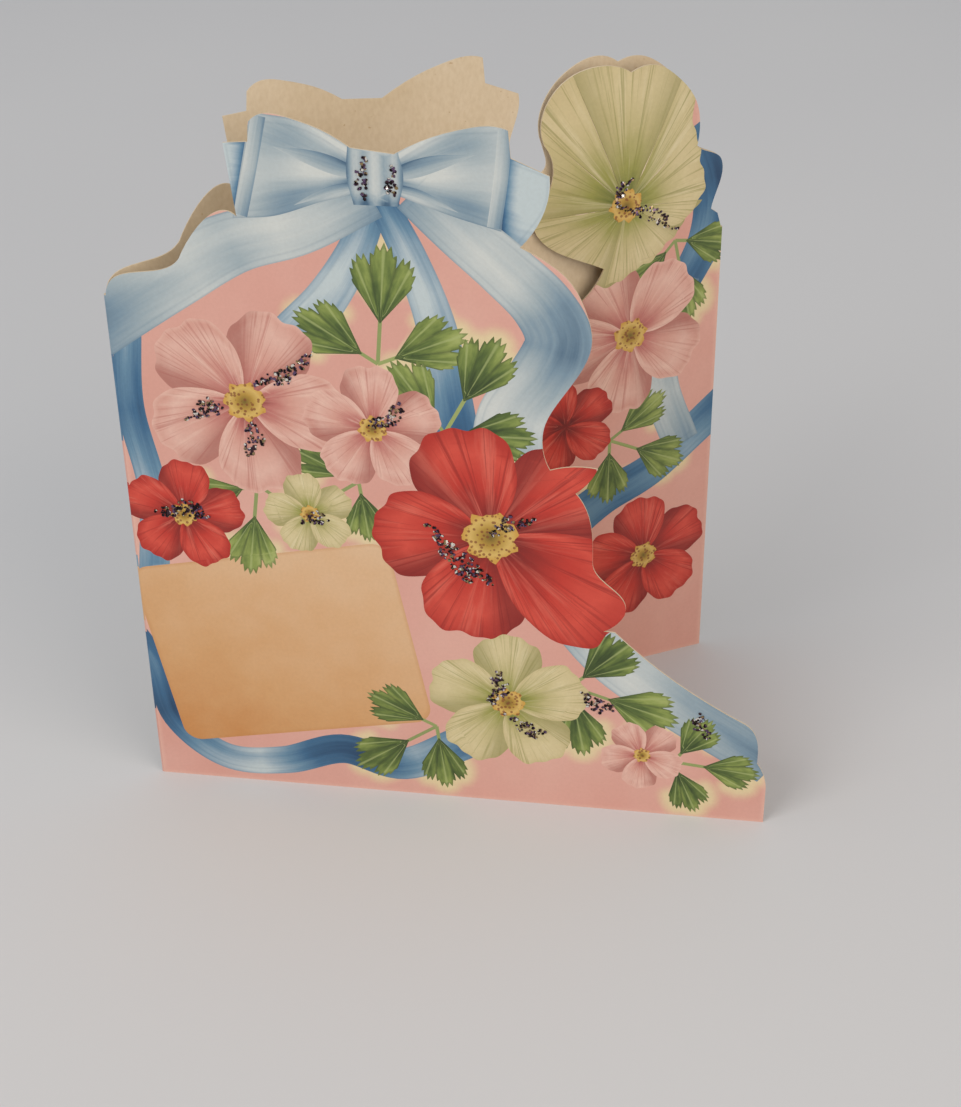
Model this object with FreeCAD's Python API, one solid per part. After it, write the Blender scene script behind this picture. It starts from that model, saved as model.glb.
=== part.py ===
"""Standing greeting card, die-cut from one sheet of card stock and creased twice.

The sheet has three leaves in a row.  The cover is joined by the spine crease to the back leaf, and the
back leaf is joined by a second crease to a narrow flap, which is folded over onto the back leaf's
inner face and bows away from it towards the top.  The card stands half open on its bottom edges.

Each leaf is drawn flat: u runs from the spine to the right, v runs up from the bottom edge and w is
the leaf's normal.  Only the outer side of the sheet is printed, so print lies on the cover and the flap.
A printed colour is one node: flat fields, side by side on the sheet, that never overlap.

World frame: +X along the cover's bottom edge from spine to free edge, -Y the way the cover faces, +Z up.
The origin is the middle of the standing card's footprint, on the surface that it stands on.
"""
import FreeCAD, Part
import math
import os
from FreeCAD import Placement, Rotation, Vector

# Sheet, in millimetres and degrees
card_width = 121.0        # from the spine crease to the free edge, and to the flap crease
card_height = 139.7       # bottom edge to the top of the bow
stock = 0.3               # thickness of the card stock
opening_angle = 29.65     # between the cover and the back leaf
spine_radius = 0.15       # inside of the spine crease
fold_radius = 0.15        # inside of the flap crease
flap_rise_foot = 0.2      # how far the flap bows away from the back leaf at the bottom edge
flap_rise_top = 4.3       # the same at the top of the card
flap_facets = 14          # flat strips that the bowed flap is made of, side by side

# Print and glitter
ink = 0.06                # thickness of a printed field
ink_margin = 0.2          # bare strip above the bottom edge, and beside the creases
chord = 4.0               # a printed field's curved edges are cut into chords of about this length
least_field = 0.4         # a bare patch smaller than this, in square millimetres, is left unprinted
cleft_share = 0.3         # depth of the cleft between two petals, as a share of the petals' length
dome_cleft = 0.03         # the same for the blossom that fills the flap's dome
heart_share = 0.2         # radius of a blossom's heart, as a share of its petals' length
leaf_shoulder = 0.6       # place of a foliage leaf's widest part, as a share of its length
leaf_fullness = 0.78      # width there, as a share of the same length
leaf_spread = 62          # degrees between a spray's side leaves and its stem
label_width = 51.0
label_height = 41.0
label_corner = 3.5        # radius of the label's corners
label_turn = 11.0         # slope of the label
fleck = 1.0               # width of one fleck of glitter
fleck_height = 0.3        # how far a fleck stands out from the print

half_angle = math.radians(opening_angle) / 2
spine_reach = spine_radius / math.tan(half_angle)      # from the crease line to the flat leaf
fold_reach = fold_radius + stock                       # the same at the flap crease
flat_start = spine_reach
flat_end = card_width - fold_reach


def at(u, v):
    """A point of the drawing, which is made for a card of 121 by 139.7 mm, fitted to the card's size."""
    return Vector(u * card_width / 121.0, v * card_height / 139.7, 0)


spine_height = at(0, 105.5).y      # length of the spine crease
fold_height = at(0, 98.5).y        # length of the flap crease
flap_start = at(76.5, 0).x         # the flap's free edge, at its foot


def stretch(points):
    """One edge through the points: straight for two, otherwise a smooth curve."""
    if len(points) == 2:
        return Part.LineSegment(points[0], points[1]).toShape()
    curve = Part.BSplineCurve()
    curve.interpolate(points)
    return curve.toShape()


def outline(*stretches):
    """A flat face bounded by stretches that follow each other, each a list of points."""
    return Part.Face(Part.Wire([stretch(points) for points in stretches]))


def chorded(face, fit=Vector):
    """The face with its curved edges cut into short chords, each corner moved by the fit."""
    wire = face.OuterWire
    points = []
    for edge, start in zip(wire.OrderedEdges, wire.OrderedVertexes):
        straight = isinstance(edge.Curve, Part.Line)
        run = edge.discretize(Number=2 if straight else max(3, math.ceil(edge.Length / chord)) + 1)
        if (run[0] - start.Point).Length > (run[-1] - start.Point).Length:
            run.reverse()
        points += [fit(point) for point in run[:-1]]
    return Part.Face(Part.makePolygon(points + points[:1]))


# Die-cut outlines: the bow and the ribbon's shoulder are the same on the cover and the back leaf


def bow_edge():
    """Top of the card from the spine to the bow's right shoulder, left to right."""
    return [
        [Vector(flat_start, spine_height, 0), at(2.2, 108.7), at(9.0, 110.4), at(14.5, 113.2)],
        [at(14.5, 113.2), at(18.7, 119.6), at(23.8, 122.2), at(25.3, 121.3)],
        [at(25.3, 121.3), at(23.9, 134.3)],
        [at(23.9, 134.3), at(28.2, 134.6)],
        [at(28.2, 134.6), at(28.5, 138.0)],
        [at(28.5, 138.0), at(30.8, 139.5), at(35.6, 138.9), at(40.5, 137.2), at(45.4, 134.3)],
        [at(45.4, 134.3), at(52.7, 133.5)],
        [at(52.7, 133.5), at(56.6, 135.6), at(60.0, 137.0), at(64.5, 138.3), at(69.0, 138.9),
         at(71.6, 138.3)],
        [at(71.6, 138.3), at(72.0, 133.6)],
        [at(72.0, 133.6), at(78.4, 130.8)],
    ]


def cover_outline():
    """The cover: bow, ribbon shoulder, two petal tips and the long ribbon tail at the lower right."""
    return outline(
        *bow_edge(),
        [at(78.4, 130.8), at(78.3, 127.5), at(76.6, 122.4), at(73.5, 118.1)],
        [at(73.5, 118.1), at(77.7, 115.8), at(81.3, 113.0), at(84.7, 107.0), at(85.8, 100.7),
         at(83.8, 95.2), at(80.4, 89.8), at(77.8, 84.6), at(77.5, 79.8), at(78.8, 75.8)],
        [at(78.8, 75.8), at(83.5, 76.8), at(87.3, 76.6)],
        [at(87.3, 76.6), at(85.6, 73.6), at(83.4, 71.4)],
        [at(83.4, 71.4), at(85.6, 67.5), at(86.6, 62.0), at(86.7, 57.2)],
        [at(86.7, 57.2), at(88.8, 53.0), at(92.6, 49.0), at(92.8, 46.0)],
        [at(92.8, 46.0), at(91.0, 43.5), at(88.9, 42.1)],
        [at(88.9, 42.1), at(91.1, 42.0)],
        [at(91.1, 42.0), at(96.1, 37.2), at(106.3, 29.2), at(116.2, 23.2)],
        [at(116.2, 23.2), at(118.4, 20.5), at(119.0, 17.2), at(119.0, 14.2)],
        [at(119.0, 14.2), at(120.4, 11.4), at(121.0, 8.5)],
        [at(121.0, 8.5), at(121.0, 0)],
        [at(121.0, 0), Vector(flat_start, 0, 0)],
        [Vector(flat_start, 0, 0), Vector(flat_start, spine_height, 0)])


def dome_edge(left, right, bump_left, bump_right, notch):
    """Two round petals side by side, from the dome's left foot to its right foot."""
    return [
        [left, at(82.3, 124.5), at(84.3, 130.2), at(88.4, 134.0), bump_left, notch],
        [notch, bump_right, at(109.0, 130.6), at(113.8, 124.4), at(114.6, 120.0), right],
    ]


def shoulder_edge(right):
    """Ribbon loop beside the dome, then the rounded shoulder down to the flap crease."""
    return [
        [right, at(117.2, 114.4), at(119.6, 112.9), at(120.2, 110.8), at(119.6, 107.4), at(118.1, 102.7)],
        [at(118.1, 102.7), at(119.6, 101.6)],
        [at(119.6, 101.6), Vector(flat_end, fold_height, 0)],
    ]


def back_outline():
    """The back leaf: the cover's bow again, a notch, and the dome of petals over the flap."""
    right = at(114.4, 116.2)
    return outline(
        *bow_edge(),
        [at(78.4, 130.8), at(78.3, 127.5), at(77.2, 124.0), at(76.4, 120.0), at(77.8, 116.4),
         at(80.6, 114.6), at(83.6, 115.8), at(83.4, 119.2), at(82.5, 122.1)],
        *dome_edge(at(82.5, 122.1), right, at(93.4, 135.7), at(102.8, 134.6), at(98.0, 134.1)),
        *shoulder_edge(right),
        [Vector(flat_end, fold_height, 0), Vector(flat_end, 0, 0)],
        [Vector(flat_end, 0, 0), Vector(flat_start, 0, 0)],
        [Vector(flat_start, 0, 0), Vector(flat_start, spine_height, 0)])


def flap_outline():
    """The flap: a plain hidden foot, a petal's edge, a pointed lobe and the dome."""
    left = at(83.0, 120.6)
    right = at(114.2, 116.2)
    foot_top = at(0, 68.0).y
    return outline(
        [Vector(flat_end, 0, 0), Vector(flap_start, 0, 0)],
        [Vector(flap_start, 0, 0), Vector(flap_start, foot_top, 0)],
        [Vector(flap_start, foot_top, 0), at(79.4, 76.0), at(84.6, 82.6), at(90.0, 88.4), at(93.2, 92.4),
         at(94.5, 95.2)],
        [at(94.5, 95.2), at(88.8, 97.8), at(83.4, 101.0), at(80.8, 105.4)],
        [at(80.8, 105.4), at(83.4, 110.4), at(84.6, 115.0), left],
        *dome_edge(left, right, at(93.7, 135.2), at(103.2, 134.2), at(98.5, 133.5)),
        *shoulder_edge(right),
        [Vector(flat_end, fold_height, 0), Vector(flat_end, 0, 0)])


# The sheet


def stand(leaf, turn):
    """Stand a drawn leaf up on its bottom edge, turned about the spine crease."""
    leaf.Placement = Placement(Vector(), Rotation(Vector(0, 0, 1), turn)).multiply(
        Placement(Vector(), Rotation(Vector(1, 0, 0), 90))).multiply(leaf.Placement)
    return leaf


def slab(face, low, high):
    """The drawn face as a plate between two levels of w."""
    plate = face.copy()
    plate.translate(Vector(0, 0, low))
    return plate.extrude(Vector(0, 0, high - low))


def flap_curve(v, low, rise):
    """Plan line of the bowed flap at height v: level at both ends, highest in the middle."""
    shares = [k / flap_facets for k in range(flap_facets + 1)]
    length = flat_end - flap_start
    return [Vector(flat_end - share * length, v, low + rise * (1 - math.cos(2 * math.pi * share)) / 2)
            for share in shares]


def flap_band(low, high):
    """Everything between two levels above the flap's inner face, over the whole height of the card."""
    wires = []
    for v, rise in ((0.0, flap_rise_foot), (card_height, flap_rise_top)):
        inner = flap_curve(v, 2 * fold_radius + low, rise)
        outer = flap_curve(v, 2 * fold_radius + high, rise)
        wires.append(Part.makePolygon(inner + outer[::-1] + inner[:1]))
    return Part.makeLoft(wires, True, True)


def on_flap(face, low, high):
    """The drawn face as a bowed plate between two levels above the flap's inner face."""
    above = 2 * (flap_rise_top + 2 * fold_radius + high)
    return flap_band(low, high).common(slab(face, 0, above))


def crease(centre, radius, start, turn, height):
    """A bend of the stock about an upright line, from a start angle through a turn, in degrees."""
    def point(distance, angle):
        return centre + Vector(math.cos(math.radians(angle)), math.sin(math.radians(angle)), 0) * distance
    inner, outer = radius, radius + stock
    end, middle = start + turn, start + turn / 2
    wire = Part.Wire([
        Part.Arc(point(inner, start), point(inner, middle), point(inner, end)).toShape(),
        Part.LineSegment(point(inner, end), point(outer, end)).toShape(),
        Part.Arc(point(outer, end), point(outer, middle), point(outer, start)).toShape(),
        Part.LineSegment(point(outer, start), point(inner, start)).toShape()])
    return Part.Face(wire).extrude(Vector(0, 0, height))


def card_sheet(cover_face, back_face, flap_face):
    """The whole sheet in one piece: cover, spine crease, back leaf, flap crease and flap."""
    cover = stand(slab(cover_face, 0, stock), 0)
    back = stand(slab(back_face, -stock, 0), opening_angle)
    flap = stand(on_flap(flap_face, 0, stock), opening_angle)
    spine_reach_out = spine_radius / math.sin(half_angle)
    spine_centre = Vector(math.cos(half_angle), math.sin(half_angle), 0) * spine_reach_out
    spine = crease(spine_centre, spine_radius, opening_angle + 90, 180 - opening_angle, spine_height)
    fold_centre = Rotation(Vector(0, 0, 1), opening_angle).multVec(Vector(flat_end, -fold_radius, 0))
    fold = crease(fold_centre, fold_radius, opening_angle - 90, 180, fold_height)
    return cover.fuse([spine, back, fold, flap]).removeSplitter()


# Printed shapes, in the drawing's own millimetres until they are cut to their leaf


def loop(*stretches):
    """A flat face bounded by stretches that follow each other, each a list of places."""
    return outline(*[[Vector(u, v, 0) for u, v in places] for places in stretches])


def blossom(u, v, length, turn, lengths=(1, 1, 1, 1, 1), cleft=cleft_share):
    """Round petals about a centre, the first at the turn; lengths makes single petals longer or shorter."""
    step = 2 * math.pi / len(lengths)
    count = max(4, math.ceil(step * length / chord))
    points = []
    for k, share in enumerate(lengths):
        foot = (share + lengths[k - 1]) / 2 * (1 - cleft)
        next_foot = (share + lengths[(k + 1) % len(lengths)]) / 2 * (1 - cleft)
        for j in range(count):
            aside = 2 * j / count - 1
            side_foot = foot if aside < 0 else next_foot
            reach = length * (share - (share - side_foot) * abs(aside) ** 3)
            angle = math.radians(turn) + step * (k + aside / 2)
            points.append(Vector(u + math.cos(angle) * reach, v + math.sin(angle) * reach, 0))
    return Part.Face(Part.makePolygon(points + points[:1]))


def heart(u, v, length):
    """The round heart of a blossom."""
    circle = Part.Circle(Vector(u, v, 0), Vector(0, 0, 1), length * heart_share)
    return Part.Face(Part.Wire([circle.toShape()]))


def foliage_leaf(base, angle, length):
    """A fan-shaped leaf: two straight sides from its foot, and a round end."""
    along = Vector(math.cos(math.radians(angle)), math.sin(math.radians(angle)), 0)
    across = Vector(-along.y, along.x, 0)
    tip = base + along * length
    shoulder = base + along * (length * leaf_shoulder)
    side = across * (length * leaf_fullness / 2)
    return Part.Face(Part.Wire([Part.LineSegment(base, shoulder - side).toShape(),
                                Part.Arc(shoulder - side, tip, shoulder + side).toShape(),
                                Part.LineSegment(shoulder + side, base).toShape()]))


def sprig(u, v, angle, length):
    """A spray of three leaves: one ahead and a pair that spreads from the stem, none touching another."""
    base = Vector(u, v, 0)

    def ahead(turn, distance):
        return base + Vector(math.cos(math.radians(turn)), math.sin(math.radians(turn)), 0) * distance
    leaves = [foliage_leaf(ahead(angle, length * 0.34), angle, length * 0.66)]
    for spread in (-leaf_spread, leaf_spread):
        leaves.append(foliage_leaf(ahead(angle + spread, length * 0.14), angle + spread, length * 0.62))
    return leaves


def band(places, start_width, end_width):
    """A ribbon that follows the places, its width changing evenly from start to end."""
    points = [Vector(u, v, 0) for u, v in places]
    left, right = [], []
    for k, here in enumerate(points):
        ahead = points[min(k + 1, len(points) - 1)]
        behind = points[max(k - 1, 0)]
        along = (ahead - behind).normalize()
        across = Vector(-along.y, along.x, 0)
        half = (start_width + (end_width - start_width) * k / (len(points) - 1)) / 2
        left.append(here + across * half)
        right.append(here - across * half)
    return outline(left, [left[-1], right[-1]], right[::-1], [right[0], left[0]])


def label():
    """A plain rounded label that slopes up to the right."""
    across, up, r = label_width / 2, label_height / 2, label_corner
    spin = Rotation(Vector(0, 0, 1), label_turn)
    centre = Vector(27.5, 33.5, 0)

    def corner(x, y):
        return centre + spin.multVec(Vector(x, y, 0))
    dip = r * (1 - math.sqrt(0.5))
    edges = []
    for sx, sy in ((1, 1), (-1, 1), (-1, -1), (1, -1)):
        sides = [corner(sx * across, sy * (up - r)), corner(sx * (across - r), sy * up)]
        if sx != sy:
            sides.reverse()
        edges.append(Part.Arc(sides[0], corner(sx * (across - dip), sy * (up - dip)), sides[1]).toShape())
    wire_edges = []
    for k, edge in enumerate(edges):
        following = edges[(k + 1) % len(edges)]
        wire_edges.append(edge)
        wire_edges.append(Part.LineSegment(edge.Vertexes[-1].Point, following.Vertexes[0].Point).toShape())
    return Part.Face(Part.Wire(wire_edges))


def cover_print():
    """Print on the cover, by node, from the uppermost down."""
    red = [blossom(68.0, 61.0, 25.0, 38, (1.0, 0.92, 0.86, 0.9, 1.2)), blossom(10.5, 61.5, 11.5, 12)]
    pink = [blossom(24.0, 86.0, 18.5, 64), blossom(47.0, 82.0, 12.5, 20), blossom(97.0, 14.0, 8.0, 50)]
    pale = [blossom(71.0, 24.0, 15.5, 90), blossom(34.5, 63.5, 8.5, 30)]
    hearts = [heart(68.0, 61.0, 25.0), heart(10.5, 61.5, 11.5), heart(24.0, 86.0, 18.5),
              heart(47.0, 82.0, 12.5), heart(97.0, 14.0, 8.0), heart(71.0, 24.0, 15.5),
              heart(34.5, 63.5, 8.5)]
    sprays = (sprig(48.5, 95.0, 85, 23.0), sprig(60.0, 82.0, 62, 22.0), sprig(25.0, 69.0, 262, 20.0),
              sprig(44.0, 71.0, 215, 17.0), sprig(83.0, 29.0, -18, 22.0), sprig(57.0, 17.0, 215, 20.0),
              sprig(103.0, 13.0, -6, 17.0))
    leaves = [leaf for spray in sprays for leaf in spray]
    bow = [
        loop([(46.5, 133.9), (38.0, 138.4), (29.0, 139.8)], [(29.0, 139.8), (24.6, 121.0)],
             [(24.6, 121.0), (32.0, 121.8), (40.0, 124.6), (46.5, 126.4)], [(46.5, 126.4), (46.5, 133.9)]),
        loop([(52.4, 133.4), (61.0, 138.2), (72.4, 139.4)], [(72.4, 139.4), (70.4, 120.8)],
             [(70.4, 120.8), (62.0, 123.2), (52.4, 126.6)], [(52.4, 126.6), (52.4, 133.4)]),
        loop([(45.0, 134.8), (53.4, 134.0)], [(53.4, 134.0), (54.2, 129.4), (53.2, 124.4)],
             [(53.2, 124.4), (45.6, 124.4)], [(45.6, 124.4), (44.6, 129.4), (45.0, 134.8)])]
    light = bow + [
        band([(56.0, 127.5), (63.5, 120.5), (71.0, 114.0), (77.4, 107.6), (80.2, 101.0), (77.4, 93.6),
              (72.6, 86.0), (71.6, 78.0)], 9.0, 14.0),
        band([(48.6, 126.0), (36.0, 119.8), (24.0, 116.4), (12.0, 109.6), (1.0, 103.0)], 8.0, 15.0),
        band([(82.0, 48.0), (91.0, 36.2), (103.0, 26.6), (115.0, 18.6), (122.0, 14.0)], 12.0, 10.0)]
    shade = [
        loop([(30.0, 136.0), (23.0, 135.4)], [(23.0, 135.4), (24.4, 120.6)],
             [(24.4, 120.6), (30.0, 122.4)], [(30.0, 122.4), (30.0, 136.0)]),
        loop([(70.0, 134.8), (79.6, 131.6)], [(79.6, 131.6), (78.6, 124.6), (73.6, 117.2)],
             [(73.6, 117.2), (69.6, 114.6)], [(69.6, 114.6), (56.0, 123.6)],
             [(56.0, 123.6), (70.0, 134.8)]),
        band([(49.4, 126.0), (45.4, 116.0), (40.0, 107.0), (33.0, 98.6), (27.0, 89.0)], 5.0, 10.0),
        band([(50.0, 126.0), (55.0, 115.0), (58.8, 103.6), (60.6, 92.0), (62.0, 80.0)], 5.0, 9.0),
        band([(79.6, 74.0), (81.0, 65.0), (80.0, 56.0), (84.0, 46.0)], 13.0, 11.0),
        band([(4.0, 101.0), (2.6, 84.0), (5.0, 66.0), (3.4, 47.0)], 5.0, 6.0),
        band([(1.6, 27.0), (4.6, 14.0), (14.0, 5.6), (26.0, 5.6), (38.0, 9.6), (50.0, 7.0),
              (63.0, 14.0)], 5.0, 8.0)]
    return [("blossom_hearts", hearts), ("pale_blossoms", pale), ("red_blossoms", red),
            ("pink_blossoms", pink), ("leaf_sprays", leaves), ("label_field", [label()]),
            ("ribbon_light", light), ("ribbon_shade", shade)]


def flap_print():
    """Print on the flap, by node, from the uppermost down."""
    pale = [blossom(98.6, 107.6, 29.6, 88, (1.02, 0.94, 0.58, 0.46, 0.6), dome_cleft)]
    pink = [blossom(100.6, 80.0, 17.0, 118)]
    red = [blossom(106.0, 27.0, 14.5, 26), blossom(87.6, 61.6, 10.5, 36)]
    hearts = [heart(98.6, 107.6, 16.0), heart(100.6, 80.0, 17.0), heart(106.0, 27.0, 14.5)]
    sprays = (sprig(110.0, 98.0, -76, 19.0), sprig(97.0, 57.0, -28, 20.0))
    leaves = [leaf for spray in sprays for leaf in spray]
    light = [band([(112.6, 90.0), (107.6, 78.0), (108.6, 66.0), (114.0, 52.0)], 8.0, 8.0)]
    shade = [band([(112.6, 120.0), (117.8, 108.0), (117.2, 97.0), (111.0, 86.0)], 9.0, 8.0),
             band([(86.0, 36.0), (96.0, 43.6), (108.0, 48.6), (121.0, 58.0)], 9.0, 8.0)]
    return [("blossom_hearts", hearts), ("pale_blossoms", pale), ("red_blossoms", red),
            ("pink_blossoms", pink), ("leaf_sprays", leaves),
            ("ribbon_light", light), ("ribbon_shade", shade)]


def fields(leaf_face, drawn, start, end):
    """Cut the drawn shapes to the leaf and to each other; what is left bare is the pink ground."""
    plate = Part.makePlane(end - start, 2 * card_height, Vector(start, ink_margin, 0))
    bare = chorded(leaf_face).common(plate)
    cut = {}
    for name, shapes in drawn:
        cut[name] = []
        for shape in shapes:
            piece = chorded(shape, lambda point: at(point.x, point.y))
            cut[name] += bare.common(piece).Faces
            bare = bare.cut(piece)
    cut["pink_ground"] = bare.Faces
    return {name: Part.makeCompound([face for face in faces if face.Area > least_field])
            for name, faces in cut.items()}


# Glitter, in short dabs of flecks glued over the print


def dab(u, v, angle, length, count, spread):
    """A dab of square flecks strewn along a short line, each turned its own way."""
    flecks = []
    for k in range(count):
        swing = math.sin(2.4 * k + u)
        place = length * ((k + 0.5) / count - 0.5)
        aside = spread * swing
        turn = math.radians(angle)
        centre = at(u, v) + Vector(place * math.cos(turn) - aside * math.sin(turn),
                                   place * math.sin(turn) + aside * math.cos(turn), 0)
        square = Part.makePlane(fleck, fleck, centre - Vector(fleck / 2, fleck / 2, 0))
        square.rotate(centre, Vector(0, 0, 1), 37 * k + 90 * swing)
        flecks.append(square)
    return flecks


def cover_glitter():
    """Dabs on the cover's blossoms, bow and foliage."""
    dabs = [(62.0, 56.0, -48, 15.0, 8, 1.6), (71.5, 64.0, 20, 8.0, 4, 1.2), (16.5, 84.0, 25, 7.0, 4, 1.3),
            (31.5, 92.0, 30, 12.0, 5, 1.1), (25.0, 78.5, 80, 7.0, 3, 1.2), (50.0, 84.5, 35, 8.0, 4, 1.1),
            (10.5, 62.5, 5, 10.0, 5, 1.3), (69.0, 27.0, 80, 8.0, 4, 1.3), (74.5, 18.5, -30, 8.0, 3, 1.1),
            (47.2, 129.2, 88, 7.0, 4, 0.7), (52.2, 128.8, 84, 6.0, 3, 0.7), (88.0, 25.5, -25, 7.0, 3, 1.1),
            (108.0, 22.0, -60, 6.0, 3, 1.0), (35.5, 62.5, 20, 5.0, 2, 1.0)]
    return [square for place in dabs for square in dab(*place)]


def flap_glitter():
    """Dabs on the flap's pale blossom."""
    dabs = [(104.0, 104.6, -28, 13.0, 5, 1.0), (97.6, 111.0, 60, 5.0, 2, 0.8)]
    return [square for place in dabs for square in dab(*place)]


# Build every node


def main():
    cover_face = cover_outline()
    back_face = back_outline()
    flap_face = flap_outline()
    nodes = {"card_sheet": [card_sheet(cover_face, back_face, flap_face)]}

    cover_fields = fields(cover_face, cover_print(), flat_start + ink_margin, card_width)
    flap_fields = fields(flap_face, flap_print(), flap_start, flat_end - ink_margin)
    for name, shape in cover_fields.items():
        nodes.setdefault(name, []).append(stand(slab(shape, stock, stock + ink), 0))
    for name, shape in flap_fields.items():
        nodes.setdefault(name, []).append(stand(on_flap(shape, stock, stock + ink), opening_angle))

    top = stock + ink
    cover_flecks = Part.makeCompound(cover_glitter()).common(cover_face)
    flap_flecks = Part.makeCompound(flap_glitter()).common(flap_face)
    nodes["glitter"] = [stand(slab(cover_flecks, top, top + fleck_height), 0),
                        stand(on_flap(flap_flecks, top, top + fleck_height), opening_angle)]

    whole = Part.makeCompound(nodes["card_sheet"] + nodes["pink_ground"] + nodes["glitter"]).BoundBox
    home = Vector(-(whole.XMin + whole.XMax) / 2, -(whole.YMin + whole.YMax) / 2, -whole.ZMin)
    os.makedirs("parts", exist_ok=True)
    for name, shapes in nodes.items():
        solids = [solid for shape in shapes for solid in shape.Solids]
        node = solids[0] if len(solids) == 1 else Part.makeCompound(solids)
        node.translate(home)
        node.exportStep(f"parts/{name}.step")
        print(name, len(solids), "solids", round(node.Volume, 2), "mm3", node.isValid())


main()
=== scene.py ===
"""Greeting card, die-cut from one printed sheet of card, standing half open: its finished look."""
import bpy
import bmesh
import math
import numpy as np
from mathutils import Matrix, Vector
from mathutils.geometry import delaunay_2d_cdt


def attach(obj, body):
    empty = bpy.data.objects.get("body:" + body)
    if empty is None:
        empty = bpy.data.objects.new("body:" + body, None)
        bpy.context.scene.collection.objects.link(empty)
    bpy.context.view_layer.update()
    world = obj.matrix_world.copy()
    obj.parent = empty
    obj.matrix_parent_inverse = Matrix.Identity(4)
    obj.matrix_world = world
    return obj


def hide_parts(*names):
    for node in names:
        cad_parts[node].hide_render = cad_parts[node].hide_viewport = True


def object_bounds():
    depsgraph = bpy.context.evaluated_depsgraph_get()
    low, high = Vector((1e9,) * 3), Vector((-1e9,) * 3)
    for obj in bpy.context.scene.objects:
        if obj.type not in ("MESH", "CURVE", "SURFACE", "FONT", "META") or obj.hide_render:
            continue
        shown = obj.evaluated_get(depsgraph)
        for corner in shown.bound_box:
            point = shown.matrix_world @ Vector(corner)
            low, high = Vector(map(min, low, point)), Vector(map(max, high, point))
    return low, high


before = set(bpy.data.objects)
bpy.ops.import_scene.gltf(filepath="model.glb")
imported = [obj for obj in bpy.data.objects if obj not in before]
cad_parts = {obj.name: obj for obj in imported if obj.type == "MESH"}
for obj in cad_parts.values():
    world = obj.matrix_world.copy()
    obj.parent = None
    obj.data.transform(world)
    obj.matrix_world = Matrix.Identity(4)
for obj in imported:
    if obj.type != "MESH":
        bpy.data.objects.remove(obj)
cad_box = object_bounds()


# The card sheet: one piece of light card, 0.3 mm thick, stamped to shape with a steel rule die and
# creased twice.  Its inner side was never printed or coated, so it shows bare fibre, and it has
# yellowed with age, more in some places than in others.
def linear(code):
    """The linear colour of an sRGB hex value."""
    channels = [int(code[k:k + 2], 16) / 255 for k in (0, 2, 4)]
    return (*[c / 12.92 if c <= 0.04045 else ((c + 0.055) / 1.055) ** 2.4 for c in channels], 1.0)


def add(tree, kind, values=None, links=None, stops=None, **settings):
    """Adds a node: its settings, the values and links of its inputs, and a ramp's stops."""
    node = tree.nodes.new(kind)
    for name, setting in settings.items():
        setattr(node, name, setting)
    for socket, value in (values or {}).items():
        node.inputs[socket].default_value = value
    for socket, source in (links or {}).items():
        tree.links.new(source, node.inputs[socket])
    for k, (place, code) in enumerate(stops or []):
        element = node.color_ramp.elements[k] if k < 2 else node.color_ramp.elements.new(place)
        element.position = place
        element.color = linear(code)
    return node


def new_finish(name, **uniform):
    """An empty material with a Principled shader, whose uniform values are set on its own sockets."""
    material = bpy.data.materials.new(name)
    material.use_nodes = True
    tree = material.node_tree
    tree.nodes.clear()
    values = {key.replace("_", " "): value for key, value in uniform.items()}
    shader = add(tree, "ShaderNodeBsdfPrincipled", values)
    add(tree, "ShaderNodeOutputMaterial", links={"Surface": shader.outputs[0]})
    return material, tree, shader


# Uncoated card, machine finished: matt, with cloudy yellowing 15 to 40 mm across, short fibres about
# 0.3 mm wide, drawn twice their real width so that they show, and a few tan specks.
sheet_finish, tree, shader = new_finish("card_uncoated_yellowed", Roughness=0.86, IOR=1.45)
spot = add(tree, "ShaderNodeTexCoord").outputs["Object"]
cloud = add(tree, "ShaderNodeTexNoise", {"Scale": 34.0, "Detail": 3.0, "Roughness": 0.55}, {"Vector": spot})
tone = add(tree, "ShaderNodeValToRGB", links={0: cloud.outputs["Fac"]},
           stops=[(0.30, "DDCDB4"), (0.78, "CDB999"), (0.54, "D7C6AB")])
along = add(tree, "ShaderNodeMapping", {"Scale": (1500.0, 1500.0, 900.0)}, {"Vector": spot})
fibre = add(tree, "ShaderNodeTexNoise", {"Scale": 1.0, "Detail": 2.0}, {"Vector": along.outputs[0]})
fibre_ramp = add(tree, "ShaderNodeValToRGB", links={0: fibre.outputs["Fac"]},
                 stops=[(0.30, "EBE5DA"), (0.70, "FFFFFF")])
with_fibre = add(tree, "ShaderNodeMix", {0: 0.45}, {6: tone.outputs[0], 7: fibre_ramp.outputs[0]},
                 data_type="RGBA", blend_type="MULTIPLY")
speck = add(tree, "ShaderNodeTexNoise", {"Scale": 900.0, "Detail": 1.0}, {"Vector": spot})
speck_share = add(tree, "ShaderNodeMapRange", {1: 0.74, 2: 0.80, 3: 0.0, 4: 0.5}, {0: speck.outputs["Fac"]})
with_speck = add(tree, "ShaderNodeMix", {7: linear("A98654")},
                 {0: speck_share.outputs[0], 6: with_fibre.outputs[2]}, data_type="RGBA")
tree.links.new(with_speck.outputs[2], shader.inputs["Base Color"])
tooth = add(tree, "ShaderNodeBump", {"Strength": 0.25, "Distance": 0.00004}, {"Height": fibre.outputs["Fac"]})
tree.links.new(tooth.outputs[0], shader.inputs["Normal"])

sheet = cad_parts["card_sheet"]
sheet.data.materials.clear()
sheet.data.materials.append(sheet_finish)


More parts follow.
